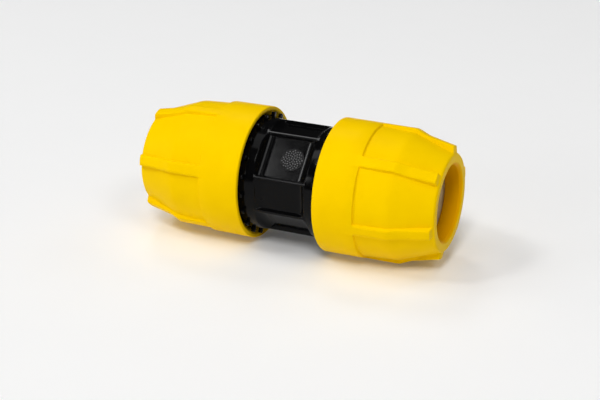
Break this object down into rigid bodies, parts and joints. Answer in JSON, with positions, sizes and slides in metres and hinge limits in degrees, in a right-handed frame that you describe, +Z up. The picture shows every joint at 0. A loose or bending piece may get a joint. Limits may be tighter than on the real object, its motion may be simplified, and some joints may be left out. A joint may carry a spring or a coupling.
{
  "type": "compression coupler",
  "caption": "Straight compression coupler for plastic pipe: a black body between two ribbed yellow screw nuts, with split grip rings, thrust bushes and rubber seals.",
  "frame": {"origin": "on the pipe axis, at the middle of the body", "axes": "+X along the pipe axis towards the right nut, +Z up, as the coupler lies in a level pipe run"},
  "size_m": [0.1396, 0.06, 0.06],
  "materials": {
    "body_black": "glossy black moulded plastic",
    "nut_yellow": "satin yellow moulded plastic",
    "ring_natural": "natural white acetal",
    "bush_black": "matte black moulded plastic",
    "seal_rubber": "greased black rubber"
  },
  "bodies": {
    "coupler": {"coupler_body": "body_black", "left_thrust_bush": "bush_black", "right_thrust_bush": "bush_black", "left_seal": "seal_rubber", "right_seal": "seal_rubber"},
    "left_grip": {"left_grip_ring": "ring_natural"},
    "left_screw_nut": {"left_nut": "nut_yellow"},
    "right_grip": {"right_grip_ring": "ring_natural"},
    "right_screw_nut": {"right_nut": "nut_yellow"}
  },
  "joints": [
    {"name": "left_nut_travel", "type": "slide", "parent": "coupler", "child": "left_grip", "axis": [-1, 0, 0], "range_m": [0, 0.024]},
    {"name": "left_nut_turn", "type": "hinge", "parent": "left_grip", "child": "left_screw_nut", "pos_m": [-0.045, 0, 0], "axis": [-1, 0, 0], "range_deg": [0, 1440]},
    {"name": "right_nut_travel", "type": "slide", "parent": "coupler", "child": "right_grip", "axis": [1, 0, 0], "range_m": [0, 0.024]},
    {"name": "right_nut_turn", "type": "hinge", "parent": "right_grip", "child": "right_screw_nut", "pos_m": [0.045, 0, 0], "axis": [1, 0, 0], "range_deg": [0, 1440]}
  ],
  "couplings": [
    {"joint": "left_nut_travel", "follows": "left_nut_turn", "m_per_rad": 0.00095493},
    {"joint": "right_nut_travel", "follows": "right_nut_turn", "m_per_rad": 0.00095493}
  ]
}
